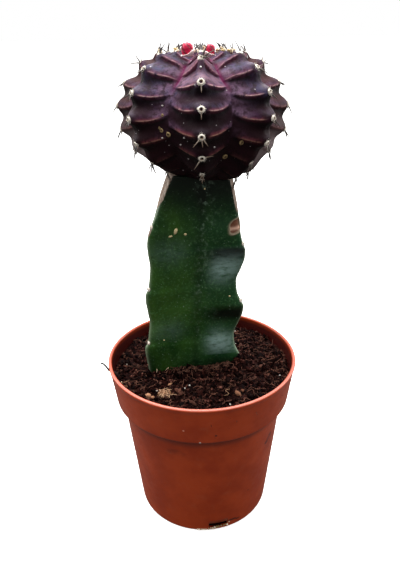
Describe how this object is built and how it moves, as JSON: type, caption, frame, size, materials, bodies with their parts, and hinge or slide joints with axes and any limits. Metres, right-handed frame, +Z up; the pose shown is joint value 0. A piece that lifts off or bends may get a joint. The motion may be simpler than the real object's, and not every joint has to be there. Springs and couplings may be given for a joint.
{
  "type": "potted moon cactus",
  "caption": "Grafted moon cactus: a dark ribbed spiny head on a three-ribbed green rootstock, standing in the soil of a round nursery pot.",
  "frame": {"origin": "middle of the pot's base, on the surface that it stands on", "axes": "+Z up along the pot's axis, -Y towards the plant's front, +X to the right seen from the front"},
  "size_m": [0.085, 0.085, 0.2088],
  "materials": {
    "pot_plastic": "injection-moulded terracotta-coloured polypropylene, satin",
    "potting_soil": "crumbly dark peat with fibres and bark",
    "green_stem": "waxy green skin",
    "dark_skin": "dull purple-black skin with woolly areoles and horny spines",
    "flower_bud": "matt crimson petals"
  },
  "bodies": {
    "root": {"pot": "pot_plastic", "soil": "potting_soil", "rootstock": "green_stem", "scion": "dark_skin", "bud_left": "flower_bud", "bud_right": "flower_bud"}
  },
  "joints": []
}
